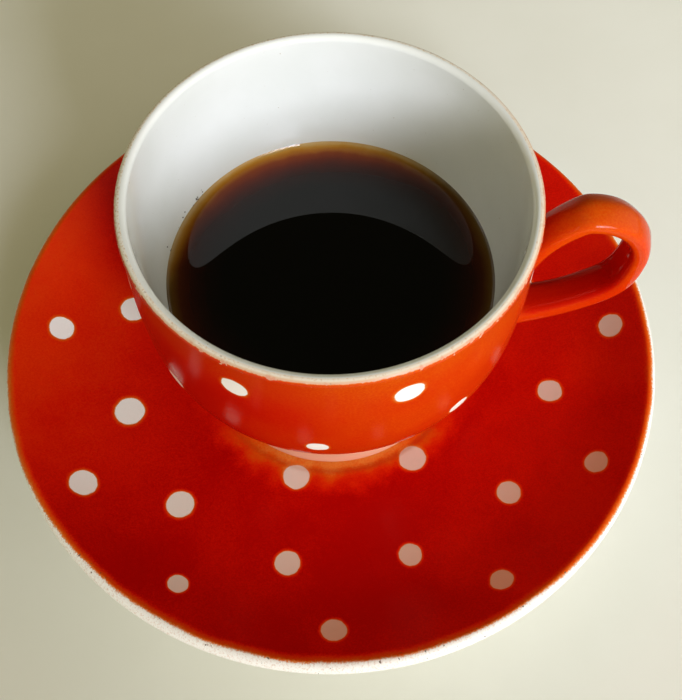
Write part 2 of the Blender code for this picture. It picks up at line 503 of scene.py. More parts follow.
# %% White glaze
GLAZE_ROUGHNESS = 0.08
WHITE_SHADES = [(0.3, (0.755, 0.765, 0.735)), (0.7, (0.80, 0.805, 0.785))]
SPECK_COLOUR = (0.45, 0.36, 0.27, 1.0)
WARMTH = (14 * MM, 3.0)
SPECKS = (0.5 * MM, 1.0)
SPECK_SHARE = (0.78, 0.84)
SLOW_WAVES = (9 * MM, 1.0)
SLOW_DEPTH = 0.05 * MM
FINE_WAVES = (1.1 * MM, 2.0)
FINE_DEPTH = 0.006 * MM


def blend(tree, share, first, second):
    """A mix of two colours."""
    node = tree.nodes.new("ShaderNodeMix")
    node.data_type = "RGBA"
    feed(tree, node.inputs["Factor"], share)
    feed(tree, node.inputs["A"], first)
    feed(tree, node.inputs["B"], second)
    return node.outputs["Result"]


def glaze_waves(tree, place):
    """The faint orange peel of fired glaze."""
    slow = relief(tree, cloud(tree, place, *SLOW_WAVES), SLOW_DEPTH)
    return relief(tree, cloud(tree, place, *FINE_WAVES), FINE_DEPTH, slow)


def white_glaze():
    """White glaze with a faint warm unevenness and a few dark specks."""
    finish, tree, shader, place = new_finish("white_glaze")
    tint = shades(tree, cloud(tree, place, *WARMTH), WHITE_SHADES)
    specks = ease(tree, cloud(tree, place, *SPECKS), *SPECK_SHARE)
    feed(tree, shader.inputs["Base Color"], blend(tree, specks, tint, SPECK_COLOUR))
    shader.inputs["Roughness"].default_value = GLAZE_ROUGHNESS
    feed(tree, shader.inputs["Normal"], glaze_waves(tree, place))
    return finish


white = white_glaze()
print("white glaze nodes:", len(white.node_tree.nodes))

# %% [markdown]
# The colours of the coat are kept in two ramps, from no coat to a full one, because the
# cup's red is more orange than the saucer's. Mixing white and one red would give a cold
# pink halfway. Real thin glaze turns peach and then orange, so the ramps go that way.

# %% Colours of the coat
SAUCER_SHADES = [
    (0.00, (0.96, 0.93, 0.89)),
    (0.035, (0.83, 0.73, 0.66)),
    (0.07, (0.78, 0.57, 0.49)),
    (0.13, (0.77, 0.38, 0.25)),
    (0.28, (0.76, 0.22, 0.035)),
    (0.50, (0.72, 0.085, 0.003)),
    (0.72, (0.74, 0.026, 0.001)),
    (0.85, (0.66, 0.007, 0.0006)),
    (1.00, (0.46, 0.0006, 0.0002)),
]
CUP_SHADES = [
    (0.00, (0.90, 0.87, 0.82)),
    (0.035, (0.72, 0.59, 0.45)),
    (0.07, (0.66, 0.45, 0.30)),
    (0.13, (0.63, 0.30, 0.20)),
    (0.28, (0.60, 0.16, 0.03)),
    (0.50, (0.56, 0.068, 0.002)),
    (0.64, (0.52, 0.032, 0.001)),
    (0.80, (0.49, 0.008, 0.0005)),
    (1.00, (0.42, 0.001, 0.0003)),
]
print("steps in the ramps:", len(SAUCER_SHADES), len(CUP_SHADES))

# %% [markdown]
# The sprayed glaze is one recipe for both pieces. A dot is a circle where the mask lay, so
# its coat is nothing, and close round it the coat is a little thin. A fine mist of spray
# grains over everything keeps the field from looking like paint. The dots could be cut
# into the mesh. As distances in the finish they stay perfectly round on any curve, and
# their edges can stray a little.

# %% Sprayed glaze
GLAZE_GLOSS = 0.10
DOT_STRAY = 0.55 * MM
STRAY_CLOUD = (2.4 * MM, 2.0)
DOT_EDGE = (0.94, 1.06)
HALO = (1.0, 1.30, 0.68, 1.0)
MIST_CLOUD = (0.42 * MM, 2.0, 0.7)
MIST = (0.25, 0.75, -0.06, 0.06)
PIT_CLOUD = (0.9 * MM, 1.0)
PIT_SHARE = (0.72, 0.77)
PIT_COLOUR = (0.10, 0.05, 0.03, 1.0)
COAT_DEPTH = 0.03 * MM


def figure(tree, operation, *values, clamp=False):
    """A Math node, from its inputs to its output."""
    node = tree.nodes.new("ShaderNodeMath")
    node.operation = operation
    node.use_clamp = clamp
    for socket, value in zip(node.inputs, values):
        feed(tree, socket, value)
    return node.outputs[0]


def product(tree, *factors):
    """Figures multiplied together."""
    total = factors[0]
    for factor in factors[1:]:
        total = figure(tree, "MULTIPLY", total, factor)
    return total


def scaled(tree, vector, factor):
    """A vector or colour, times a factor that may vary over the surface."""
    node = tree.nodes.new("ShaderNodeVectorMath")
    node.operation = "SCALE"
    feed(tree, node.inputs[0], vector)
    feed(tree, node.inputs["Scale"], factor)
    return node.outputs["Vector"]


def nearest_dot(tree, place, centres):
    """Distance to the nearest dot's middle, in dot radii, with a slightly unsteady edge."""
    noisy = cloud(tree, place, *STRAY_CLOUD, result="Color")
    stray = vector_figure(tree, "SUBTRACT", noisy, (0.5, 0.5, 0.5))
    where = vector_figure(tree, "ADD", place, scaled(tree, stray, DOT_STRAY))
    nearest = None
    for centre, width in centres:
        away = vector_figure(tree, "DISTANCE", where, tuple(centre), result="Value")
        share = figure(tree, "MULTIPLY", away, 2.0 / width)
        nearest = share if nearest is None else figure(tree, "MINIMUM", nearest, share)
    return nearest


def sprayed_glaze(name, colours, centres, coats, tint, pits, roughness):
    """Red sprayed over white. coats gives the coat of the open field at a place, tint a light
    coat over field and dots that carries painted shade and the lip's beige, pits where the
    glaze is pitted, and roughness how much it blurs."""
    finish, tree, shader, place = new_finish(name)
    away = nearest_dot(tree, place, centres)
    mist = ease(tree, cloud(tree, place, *MIST_CLOUD), *MIST)
    open_coat = product(tree, coats(tree, place), ease(tree, away, *HALO))
    field = figure(tree, "ADD", open_coat, mist)
    field = figure(tree, "MULTIPLY", field, ease(tree, away, *DOT_EDGE), clamp=True)
    # tint carries painted shade: pink on the shaded dots and foot, beige on the lit lip.
    coat = figure(tree, "MAXIMUM", field, tint(tree, place), clamp=True)
    speck = ease(tree, cloud(tree, place, *PIT_CLOUD), *PIT_SHARE)
    pitted = product(tree, speck, pits(tree, place))
    colour = blend(tree, pitted, shades(tree, coat, colours), PIT_COLOUR)
    feed(tree, shader.inputs["Base Color"], colour)
    feed(tree, shader.inputs["Roughness"], roughness(tree, place))
    shader.inputs["Specular IOR Level"].default_value = GLAZE_GLOSS
    feed(tree, shader.inputs["Normal"], relief(tree, coat, COAT_DEPTH, glaze_waves(tree, place)))
    print(name, "nodes:", len(tree.nodes))
    return finish


print("widest halo round a dot:", HALO[1], "dot radii")

# %% [markdown]
# ## The cup
#
# The frame's cup is right in shape, but its solid is cut into facets. This one follows
# the same outline with six times the steps, wavers by a few hundredths of a millimetre as
# thrown pottery does, and grows its handle out of the wall with a small fillet.

# %% Cup outline
RIM_RADIUS = 40.0 * MM
LIP_WIDTH = 2.3 * MM
LIP_ROUND = 1.3 * MM
BELLY = (40.8 * MM, 58.3 * MM)
BOWL = (37.4 * MM, 36.3 * MM, 246.0)
BASE = (28.4 * MM, 17.6 * MM, 222.0)
FOOT_RADIUS = 30.1 * MM
FOOT_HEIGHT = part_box("cup")[0][2]
FOOT_WAIST = (27.0 * MM, 13.7 * MM)
FOOT_EDGE = 0.7 * MM
FOOT_RING_WIDTH = 2.6 * MM
FOOT_RECESS = 2.6 * MM
FLOOR_HEIGHT = 15.5 * MM
COFFEE_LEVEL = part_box("coffee")[1][2]
COFFEE_RADIUS = 35.5 * MM
WALL_SLOPE = 81.0


def cup_inside():
    """From the middle of the floor up the wall to the lip."""
    return flow([station(0.0, FLOOR_HEIGHT),
                 station(COFFEE_RADIUS, COFFEE_LEVEL, WALL_SLOPE),
                 station(RIM_RADIUS - LIP_WIDTH, RIM_HEIGHT - LIP_ROUND, 90.0),
                 station(RIM_RADIUS - LIP_WIDTH / 2, RIM_HEIGHT)], [8, 4, 3])


def cup_outside():
    """From the top of the lip down the outside to the foot's lower edge."""
    return flow([station(RIM_RADIUS - LIP_WIDTH / 2, RIM_HEIGHT),
                 station(RIM_RADIUS, RIM_HEIGHT - LIP_ROUND, 270.0),
                 station(*BELLY, 270.0),
                 station(*BOWL),
                 station(*BASE),
                 station(*FOOT_WAIST, 270.0),
                 station(FOOT_RADIUS, FOOT_HEIGHT + FOOT_EDGE, 270.0),
                 station(FOOT_RADIUS - FOOT_EDGE, FOOT_HEIGHT, 180.0)], [3, 3, 4, 4, 2, 4, 2])


def cup_under():
    """Under the foot ring and across the hollow."""
    inner = FOOT_RADIUS - FOOT_EDGE - FOOT_RING_WIDTH
    return flow([station(FOOT_RADIUS - FOOT_EDGE, FOOT_HEIGHT, 180.0),
                 station(inner, FOOT_HEIGHT, 180.0),
                 station(inner - FOOT_RECESS / 2, FOOT_HEIGHT + FOOT_RECESS, 180.0),
                 station(0.0, FOOT_HEIGHT + FOOT_RECESS, 180.0)], [1, 2, 2])


def radius_at(outline, height):
    """Radius of an outline where it passes a height."""
    for a, b in zip(outline, outline[1:]):
        if min(a.z, b.z) <= height <= max(a.z, b.z) and a.z != b.z:
            return a.x + (b.x - a.x) * (height - a.z) / (b.z - a.z)
    return min(outline, key=lambda p: abs(p.z - height)).x


inside = cup_inside()
outside = cup_outside()
print("the cup's widest radius:", round(max(p.x for p in outside) / MM, 2), "mm")

# %% [markdown]
# The cup's coat of glaze changes from place to place. It is worn off in a ragged line at
# the lip, where lips and spoons rub. It is thin under the lip and on top of the handle,
# where it ran off, and thick on the faces that look into the finger hole, where it pooled.
# The foot only caught a breath of it. A painted map could hold all that. As a product of
# smooth steps over height and side, each trace keeps a name and can be changed alone.

# %% Coat on the cup
LIP_LINE = RIM_HEIGHT - 0.52 * MM
FOOT_LINE = FOOT_WAIST[1] + 0.6 * MM
HOLE_MIDDLE = (52 * MM, 0.0, 52 * MM)
DRIFT_CLOUD = (17 * MM, 3.0)
RUB_CLOUD = (0.6 * MM, 4.0, 0.75)
FLECK_CLOUD = (1.5 * MM, 3.0, 0.6)
LIP_RUB = (0.25, 0.75, -0.10 * MM, 0.10 * MM)
LIP_FLECK = (0.57, 0.68, 0.0, 0.9 * MM)
LIP_START = (LIP_LINE - 0.20 * MM, LIP_LINE + 0.14 * MM, 1.0, 0.0)
LIP_THINNING = (LIP_LINE - 16.0 * MM, LIP_LINE - 1.0 * MM, 1.0, 0.83)
FOOT_START = (FOOT_LINE - 1.0 * MM, FOOT_LINE + 1.0 * MM)
# Painted shade: the coat is deeper, so the red darker, toward the cup's left, away from the
# light.
PAINTED_SIDE_SHADE = (205.0, 12.0 * MM, 38.0 * MM, 0.93, 1.24)
STRAP_REACH = (0.0, 42.0 * MM, 46.0 * MM)
STRAP_THINNING = (44.0 * MM, 56.0 * MM, 1.03, 0.90)
STRAP_POOL = (0.1, 0.7, 0.0, 0.28)
CUP_DRIFT = (0.30, 0.70, 0.67, 0.75)


def at(radius, angle, height):
    """The place at a radius and a height, at an angle in degrees round the middle."""
    turn = math.radians(angle)
    return Vector((radius * math.cos(turn), radius * math.sin(turn), height))


def toward(tree, place, angle, *step):
    """An ease along a direction, which is an angle in degrees round the middle."""
    way = vector_figure(tree, "DOT_PRODUCT", place, at(1.0, angle, 0.0), result="Value")
    return ease(tree, way, *step)


def height_of(tree, place):
    """The height above the table."""
    parts = tree.nodes.new("ShaderNodeSeparateXYZ")
    feed(tree, parts.inputs[0], place)
    return parts.outputs["Z"]


def turned_in(tree, place):
    """The glaze pooled on the faces of the strap that look into the finger hole."""
    facing = tree.nodes.new("ShaderNodeNewGeometry").outputs["Normal"]
    inward = vector_figure(tree, "SUBTRACT", HOLE_MIDDLE, place)
    inward = vector_figure(tree, "NORMALIZE", inward)
    turn = vector_figure(tree, "DOT_PRODUCT", facing, inward, result="Value")
    return ease(tree, turn, *STRAP_POOL)


def cup_coats(tree, place):
    """The field of the cup: worn off at the lip, thin below it and on the handle, a mere tint
    on the foot, and deeper toward the left, away from the light, as painted shade."""
    height = height_of(tree, place)
    rub = ease(tree, cloud(tree, place, *RUB_CLOUD), *LIP_RUB)
    fleck = ease(tree, cloud(tree, place, *FLECK_CLOUD), *LIP_FLECK)
    ragged = figure(tree, "ADD", height, rub)
    lip = ease(tree, figure(tree, "ADD", ragged, fleck), *LIP_START)
    thin = ease(tree, height, *LIP_THINNING)
    foot = ease(tree, ragged, *FOOT_START)
    # Painted shade: a deeper coat on the side away from the light, a thinner one on the lit
    # side.
    side = toward(tree, place, *PAINTED_SIDE_SHADE)
    drift = ease(tree, cloud(tree, place, *DRIFT_CLOUD), *CUP_DRIFT)
    strap = figure(tree, "ADD", ease(tree, height, *STRAP_THINNING), turned_in(tree, place))
    on_strap = toward(tree, place, *STRAP_REACH)
    strap = figure(tree, "MULTIPLY_ADD", on_strap, figure(tree, "SUBTRACT", strap, 1.0), 1.0)
    return product(tree, lip, thin, foot, side, strap, drift)


print("the coat ends at", round(LIP_LINE / MM, 2), "and", round(FOOT_LINE / MM, 2), "mm")

# %% [markdown]
# The worn lip has a beige tint with peach flecks, colour that drifted where none was meant.
# The beige is painted stronger toward the lit front right, partly as painted shade. The
# pink over the foot is painted shade, with red light thrown up from the saucer. A few pits
# lie close to the lip. Fingers rubbed the handle smooth, so it mirrors more sharply than
# the body. All of this is small, but pottery without it looks like plastic.

# %% Painted shade, tints and pits on the cup
# Painted shade: the foot's pink stands in for its shade and for red light from the saucer.
FOOT_SHADE_TINT = (FOOT_LINE, FOOT_LINE + 6.0 * MM, 0.15, 0.005)
# Partly painted shade: the lip's own beige is made stronger toward the lit front right.
LIP_TINT_AND_SHADE = (-50.0, -38.0 * MM, 34.0 * MM, 0.0, 0.10)
PEACH_CLOUD = (1.5 * MM, 2.0, 0.5)
LIP_PEACH = (0.56, 0.70, 0.0, 0.06)
PEACH_FADE = (-70.0, -30.0 * MM, 0.0, 0.2, 1.0)
LIP_BOTTOM = (LIP_LINE - 1.2 * MM, LIP_LINE - 0.2 * MM, 0.0, 1.0)
LIP_TOP = (RIM_HEIGHT - 0.34 * MM, RIM_HEIGHT - 0.06 * MM, 1.0, 0.25)
LIP_PITS = (LIP_LINE - 3.0 * MM, LIP_LINE, 0.0, 0.35)
CUP_BLUR = (*STRAP_REACH, 0.19, 0.09)


def cup_tint_and_shade(tree, place):
    """A pink tint over the foot as painted shade, a beige one with peach flecks on the lip,
    partly painted shade toward the lit front right, none on the dots.
    """
    height = height_of(tree, place)
    # Painted shade on the foot, with red light from the saucer.
    foot = ease(tree, height, *FOOT_SHADE_TINT)
    # The lip's beige, partly painted shade: stronger toward the lit front right.
    tint_and_shade = toward(tree, place, *LIP_TINT_AND_SHADE)
    fleck = ease(tree, cloud(tree, place, *PEACH_CLOUD), *LIP_PEACH)
    fade = toward(tree, place, *PEACH_FADE)
    lip = product(tree, ease(tree, height, *LIP_BOTTOM), ease(tree, height, *LIP_TOP))
    worn_and_shade = product(tree, lip, figure(tree, "ADD", tint_and_shade, product(tree, fleck, fade)))
    return figure(tree, "MAXIMUM", foot, worn_and_shade)


def cup_pits(tree, place):
    """A few dark pits close to the lip."""
    return ease(tree, height_of(tree, place), *LIP_PITS)


def cup_roughness(tree, place):
    """A soft gloss on the body, and a sharp one on the handle."""
    return toward(tree, place, *CUP_BLUR)


cup_centres = [(at(radius_at(outside, height * MM), angle, height * MM), width * MM)
               for height, angle, width in cup_dots]
cup_glaze = sprayed_glaze("cup_glaze", CUP_SHADES, cup_centres, cup_coats, cup_tint_and_shade,
                          cup_pits, cup_roughness)

# %% [markdown]
# The handle is a strap of clay, rolled flat, bent like an ear and pressed onto the wall.
# Its section is a rounded box. The outer face slopes both ways from a soft crease, which
# the thumb left in the clay. Close to the wall each section spreads by the height of a
# small round fillet, where the potter smoothed the slip. A curve with a bevel would keep
# one section from end to end, so the sections are worked out one by one.

# %% Section of the strap
STRAP_WIDTH = 7.7 * MM
STRAP_SWELL = 1.3 * MM
STRAP_THICKNESS = 4.8 * MM
STRAP_ROOT_WIDTH = 12.5 * MM
STRAP_ROOT_THICKNESS = 5.6 * MM
STRAP_SQUARENESS = 3.0
CREASE_PLACE = 0.10
CREASE_RISE = 1.07
CREASE_FALLS = (0.34, 0.60)
CREASE_FADE = (0.50, 0.80)
ROOT_QUICKNESS = 6
STRAP_POINTS = 44
FILLET = 1.8 * MM
CLEAR_OF_CAVITY = 0.8 * MM


def creased(across, share):
    """How much of its height the strap's outer face keeps: it slopes both ways from a crease
    behind its middle, and is plain again where the strap runs back to the wall."""
    fall = CREASE_FALLS[0 if across < CREASE_PLACE else 1]
    reach = CREASE_PLACE + 1.0 if across < CREASE_PLACE else 1.0 - CREASE_PLACE
    fade = min(max((CREASE_FADE[1] - share) / (CREASE_FADE[1] - CREASE_FADE[0]), 0.0), 1.0)
    return CREASE_RISE - fade * fall * abs(across - CREASE_PLACE) / reach


def rounded(swing):
    """Push a sine or cosine out toward the side of a rounded box."""
    return math.copysign(abs(swing) ** (2.0 / STRAP_SQUARENESS), swing)


def strap_section(centre, onward, share):
    """One section of the strap, spread where it nears the wall."""
    root = (2.0 * share - 1.0) ** ROOT_QUICKNESS
    swell = STRAP_SWELL * math.sin(math.pi * share) ** 2
    width = STRAP_WIDTH + swell + (STRAP_ROOT_WIDTH - STRAP_WIDTH) * root
    thickness = STRAP_THICKNESS + (STRAP_ROOT_THICKNESS - STRAP_THICKNESS) * root
    over = Vector((-onward.z, 0.0, onward.x))
    section = []
    for i in range(STRAP_POINTS):
        angle = math.tau * i / STRAP_POINTS
        c, s = math.cos(angle), math.sin(angle)
        side = rounded(c) * width / 2
        rise = rounded(s) * thickness / 2
        if rise > 0.0:
            rise *= creased(2.0 * side / width, share)
        point = centre + Vector((0.0, side, 0.0)) + over * rise
        out = math.hypot(point.x, point.y)
        least = radius_at(inside, point.z) + CLEAR_OF_CAVITY
        if out < least:
            point = Vector((point.x * least / out, point.y * least / out, point.z))
        gap = max(out, least) - radius_at(outside, point.z)
        near = min(max(FILLET - gap, 0.0), FILLET)
        spread = FILLET - math.sqrt(FILLET * FILLET - near * near)
        section.append(point + Vector((0.0, math.copysign(abs(c), side) * spread, 0.0)))
    return section


print("strap:", STRAP_WIDTH / MM, "mm wide,", STRAP_THICKNESS / MM, "mm thick, then wider")

# %% [markdown]
# The sections then stand one behind another on the line that the photograph shows: up out
# of the wall, over, down like an ear and back into the wall. Both ends stop inside the
# wall, and the skin between the sections is closed, because the next step needs a solid.

# %% Handle
HANDLE_LINE = [station(37.6 * MM, 46.2 * MM, 67.0),
               station(48.3 * MM, 66.9 * MM, 43.0),
               station(51.4 * MM, 68.6 * MM),
               station(64.1 * MM, 54.2 * MM, 270.0),
               station(59.4 * MM, 40.3 * MM, 222.0),
               station(31.5 * MM, 30.0 * MM, 186.0)]
HANDLE_STEPS = [7, 3, 7, 6, 7]


def add_handle():
    """The strap as a closed tube of sections."""
    line = flow(HANDLE_LINE, HANDLE_STEPS)
    form = bmesh.new()
    rings = []
    for i, centre in enumerate(line):
        onward = (line[min(i + 1, len(line) - 1)] - line[max(i - 1, 0)]).normalized()
        section = strap_section(centre, onward, i / (len(line) - 1))
        rings.append([form.verts.new(point) for point in section])
    for ring, following in zip(rings, rings[1:]):
        for i in range(STRAP_POINTS):
            j = (i + 1) % STRAP_POINTS
            form.faces.new((ring[i], ring[j], following[j], following[i]))
    form.faces.new(rings[0])
    form.faces.new(rings[-1])
    for face in form.faces:
        face.smooth = True
    bmesh.ops.recalc_face_normals(form, faces=form.faces)
    return made_of("handle", form)


handle = add_handle()
print("handle faces:", len(handle.data.polygons))

# %% [markdown]
# The handle is pressed on while the clay is soft, and cup and handle are one piece from
# then on. A Boolean union does the same: it cuts away what lies inside the wall and leaves
# a single closed skin, on which the glaze runs from one to the other without a seam.

# %% Join handle and cup
CUP_SEGMENTS = 240
HAND_WAVER = 0.05 * MM


def apply_modifiers(piece):
    """Keep the shape that the modifiers make, and drop the modifiers."""
    graph = bpy.context.evaluated_depsgraph_get()
    made = bpy.data.meshes.new_from_object(piece.evaluated_get(graph))
    piece.modifiers.clear()
    piece.data = made


cup_parts = [(inside, 0), (outside, 1), (cup_under(), 0)]
cup = turned("cup_body", cup_parts, CUP_SEGMENTS, HAND_WAVER)
cup.data.materials.append(white)
cup.data.materials.append(cup_glaze)
handle.data.materials.append(cup_glaze)
join = cup.modifiers.new("press on the handle", "BOOLEAN")
join.operation = "UNION"
join.solver = "EXACT"
join.material_mode = "TRANSFER"
join.object = handle
apply_modifiers(cup)
bpy.data.objects.remove(handle, do_unlink=True)
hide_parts("cup")
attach(cup, "root")
print("cup faces:", len(cup.data.polygons), "finishes:", [m.name for m in cup.data.materials])

# %% [markdown]
# ## The saucer
#
# The saucer is turned like the cup, from its own outline: a flat seat, a step that keeps
# the cup from sliding, a slope, and a lip that rolls over. A foot ring lifts it off the
# table. A plain dish would be quicker, but the step and the ring catch the shade that
# makes the cup stand in the saucer and not float over it.

# %% Saucer outline
SEAT_RADIUS = 31.0 * MM
SEAT_STEP = 2.4 * MM
SEAT_HEIGHT = FOOT_HEIGHT - 0.3 * MM
SEAT_RIM = (8.3 * MM, 9.0)
SLOPE = (58.0 * MM, 12.5 * MM, 13.0)
CREST_RADIUS = 76.3 * MM
CREST_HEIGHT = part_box("saucer")[1][2]
CREST_SLOPE = 35.0
SAUCER_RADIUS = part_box("saucer")[1][0]
SAUCER_LIP = 1.9 * MM
SAUCER_THICKNESS = 4.3 * MM
RING_RADIUS = 44.0 * MM
RING_WIDTH = 2.8 * MM
RING_HEIGHT = 3.2 * MM


def saucer_top():
    """From the middle of the seat up the slope and over the lip."""
    return flow([station(0.0, SEAT_HEIGHT),
                 station(SEAT_RADIUS, SEAT_HEIGHT),
                 station(SEAT_RADIUS + SEAT_STEP, *SEAT_RIM),
                 station(*SLOPE),
                 station(CREST_RADIUS - SAUCER_LIP / 2, CREST_HEIGHT - SAUCER_LIP / 4,
                         CREST_SLOPE),
                 station(CREST_RADIUS, CREST_HEIGHT),
                 station(SAUCER_RADIUS, CREST_HEIGHT - SAUCER_LIP, 270.0)], [1, 2, 4, 5, 1, 2])


def saucer_under():
    """From the lip back under, round the foot ring and across the middle."""
    edge = RING_WIDTH / 4
    inner = RING_RADIUS - RING_WIDTH
    return flow([station(SAUCER_RADIUS, CREST_HEIGHT - SAUCER_LIP, 270.0),
                 station(CREST_RADIUS, CREST_HEIGHT - 2 * SAUCER_LIP, 180.0 + CREST_SLOPE),
                 station(SLOPE[0], SLOPE[1] - SAUCER_THICKNESS, 180.0 + SLOPE[2]),
                 station(RING_RADIUS + edge, RING_HEIGHT + 2 * edge, 225.0),
                 station(RING_RADIUS, edge, 270.0),
                 station(RING_RADIUS - edge, 0.0, 180.0),
                 station(inner + edge, 0.0, 180.0),
                 station(inner, edge, 90.0),
                 station(inner - edge, RING_HEIGHT, 180.0),
                 station(0.0, RING_HEIGHT, 180.0)], [2, 3, 2, 1, 1, 1, 1, 1, 1])


def height_on(outline, radius):
    """Height of the saucer's top at a radius."""
    for a, b in zip(outline, outline[1:]):
        if a.x <= radius <= b.x and a.x != b.x:
            return a.z + (b.z - a.z) * (radius - a.x) / (b.x - a.x)
    return outline[-1].z


saucer_line = saucer_top()
print("the saucer's top rises to", round(max(p.z for p in saucer_line) / MM, 2), "mm")

# %% [markdown]
# The saucer's red stops short of the lip in a feathered orange line, a little earlier in
# front than behind. Round the cup's foot it fell thin and blotchy, because the mask
# shadowed it there. It thins toward both sides. Behind the cup's left its coat is deeper
# and darker: that is painted shade, the cup's shadow on the saucer. The line is made as
# the spray makes it, by a coat that fades over two millimetres. A sharp border between
# two finishes would look like tape.

# %% Coat on the saucer
SPRAY_EDGE = 77.5 * MM
SPRAY_SHIFT = 1.45 * MM
EDGE_CLOUD = (9 * MM, 2.0)
EDGE_STRAY = (0.3, 0.7, -0.15 * MM, 0.15 * MM)
EDGE_IN_FRONT = (-95.0, 34.0 * MM, 72.0 * MM, SPRAY_EDGE, SPRAY_EDGE - SPRAY_SHIFT)
EDGE_AT_RIGHT = (-5.0, 55.0 * MM, 77.0 * MM, 0.0, 0.6 * MM)
GRAIN_CLOUD = (0.45 * MM, 4.0, 0.8)
EDGE_GRAIN = (0.25, 0.75, -0.28 * MM, 0.28 * MM)
EDGE_END = (-0.45 * MM, 0.35 * MM, 1.0, 0.0)
EDGE_FEATHER = (-2.0 * MM, -0.1 * MM, 1.0, 0.50)
BLOTCH_CLOUD = (5.0 * MM, 3.0, 0.55)
SEAT_BLOTCH = (0.28, 0.72, -1.2 * MM, 1.5 * MM)
SEAT_THINNING = (28.5 * MM, 39.5 * MM, 0.68, 0.0)
SEAT_FRONT = (-88.0, 17.0 * MM, 28.0 * MM, 0.30, 1.0)
LEFT_THINNING = (150.0, 5 * MM, 75 * MM, 0.99, 0.74)
RIGHT_THINNING = (-8.0, 15 * MM, 60 * MM, 1.0, 0.90)
# Painted shadow: behind the cup's left, where its shadow falls, the coat is deeper and darker.
CUP_SHADOW_PLACE = (-40 * MM, 44 * MM, 10 * MM)
CUP_SHADOW_REACH = (8 * MM, 34 * MM, 1.5, 1.0)
SAUCER_DRIFT = (0.30, 0.70, 0.95, 1.03)


def distance_out(tree, place):
    """How far a place lies from the middle, measured flat."""
    flat = vector_figure(tree, "MULTIPLY", place, (1.0, 1.0, 0.0))
    return vector_figure(tree, "LENGTH", flat, result="Value")


def past_spray(tree, place, radius):
    """How far a radius lies past the end of the spray, and below zero short of it."""
    slow = ease(tree, cloud(tree, place, *EDGE_CLOUD), *EDGE_STRAY)
    front = toward(tree, place, *EDGE_IN_FRONT)
    right = toward(tree, place, *EDGE_AT_RIGHT)
    end = figure(tree, "ADD", figure(tree, "SUBTRACT", front, right), slow)
    return figure(tree, "SUBTRACT", radius, end)


def saucer_coats(tree, place):
    """The field of the saucer: thin before the lip, round the foot and toward both sides, and
    deeper, so darker, in a painted shadow of the cup behind its left.
    """
    radius = distance_out(tree, place)
    grain = ease(tree, cloud(tree, place, *GRAIN_CLOUD), *EDGE_GRAIN)
    past = past_spray(tree, place, figure(tree, "ADD", radius, grain))
    blotch = ease(tree, cloud(tree, place, *BLOTCH_CLOUD), *SEAT_BLOTCH)
    bare = ease(tree, figure(tree, "SUBTRACT", radius, blotch), *SEAT_THINNING)
    front = toward(tree, place, *SEAT_FRONT)
    seat = figure(tree, "SUBTRACT", 1.0, product(tree, bare, front))
    left = toward(tree, place, *LEFT_THINNING)
    # Painted shadow of the cup: the coat grows deeper, so darker, close to the place behind the
    # cup's left.
    cup_shadow_distance = vector_figure(tree, "DISTANCE", place, CUP_SHADOW_PLACE, result="Value")
    right = toward(tree, place, *RIGHT_THINNING)
    drift = ease(tree, cloud(tree, place, *DRIFT_CLOUD), *SAUCER_DRIFT)
    return product(tree, ease(tree, past, *EDGE_END), ease(tree, past, *EDGE_FEATHER), seat,
                   left, ease(tree, cup_shadow_distance, *CUP_SHADOW_REACH), right, drift)


print("the spray stops", round(SPRAY_SHIFT / MM, 2), "mm earlier in front than behind")

# %% [markdown]
# The dots at the front and right are tinted pink: painted shade, with the red light that
# the slope throws onto them. Along the lip the glaze drew back from the crest and left dark
# pits. Years of cups sliding on it made the saucer duller than the cup. Its noise is slow,
# so the dullness changes over centimetres, as real wear does.

# %% Painted shade, pits and dullness on the saucer
# Painted shade: the dots at front and right take a pink coat for their shade and red bounce
# light.
DOT_SHADE_TINT = (-40.0, -40 * MM, 62 * MM, 0.0, 0.085)
SHADE_TINT_END = (-0.5 * MM, 0.5 * MM, 1.0, 0.1)
CREST_PITS = (-1.0 * MM, -0.2 * MM, 0.0, 0.9)
WEAR_CLOUD = (12 * MM, 3.0)
SAUCER_BLUR = (0.3, 0.7, 0.26, 0.30)


def saucer_shade_tint(tree, place):
    """Painted shade: a pink tint on the dots at front and right, for their shade and the red
    light from the slope; nothing at the left.
    """
    # Painted shade and red bounce light on the dots at front and right.
    tint_and_shade = toward(tree, place, *DOT_SHADE_TINT)
    past = past_spray(tree, place, distance_out(tree, place))
    return product(tree, tint_and_shade, ease(tree, past, *SHADE_TINT_END))


def saucer_pits(tree, place):
    """Dark pits along the lip, where the glaze drew back from the crest."""
    return ease(tree, past_spray(tree, place, distance_out(tree, place)), *CREST_PITS)


def saucer_roughness(tree, place):
    """Duller than the cup, and a little uneven."""
    return ease(tree, cloud(tree, place, *WEAR_CLOUD), *SAUCER_BLUR)


saucer_centres = [(at(radius * MM, angle, height_on(saucer_line, radius * MM)), width * MM)
                  for radius, angle, width in saucer_dots]
saucer_glaze = sprayed_glaze("saucer_glaze", SAUCER_SHADES, saucer_centres, saucer_coats,
                             saucer_shade_tint, saucer_pits, saucer_roughness)

# %% [markdown]
# Outline and glaze are ready, so the saucer is turned in one go. Its top takes the sprayed
# glaze and its underside stays white. It needs more segments than the cup, because its lip
# is a circle twice as wide and the camera sees all of it.

# %% Turn the saucer
SAUCER_SEGMENTS = 300

saucer_parts = [(saucer_line, 1), (saucer_under(), 0)]
saucer = turned("saucer_body", saucer_parts, SAUCER_SEGMENTS, HAND_WAVER)
saucer.data.materials.append(white)
saucer.data.materials.append(saucer_glaze)
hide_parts("saucer")
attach(saucer, "root")
print("saucer faces:", len(saucer.data.polygons))

# %% [markdown]
# ## The coffee
#
# Coffee wets the wall and climbs it by a millimetre or two, so its edge curves up and
# catches a line of light there. A flat disc would lie in the cup like a lid. The piece
# reaches a little way into the wall, so no gap shows between liquid and glaze.

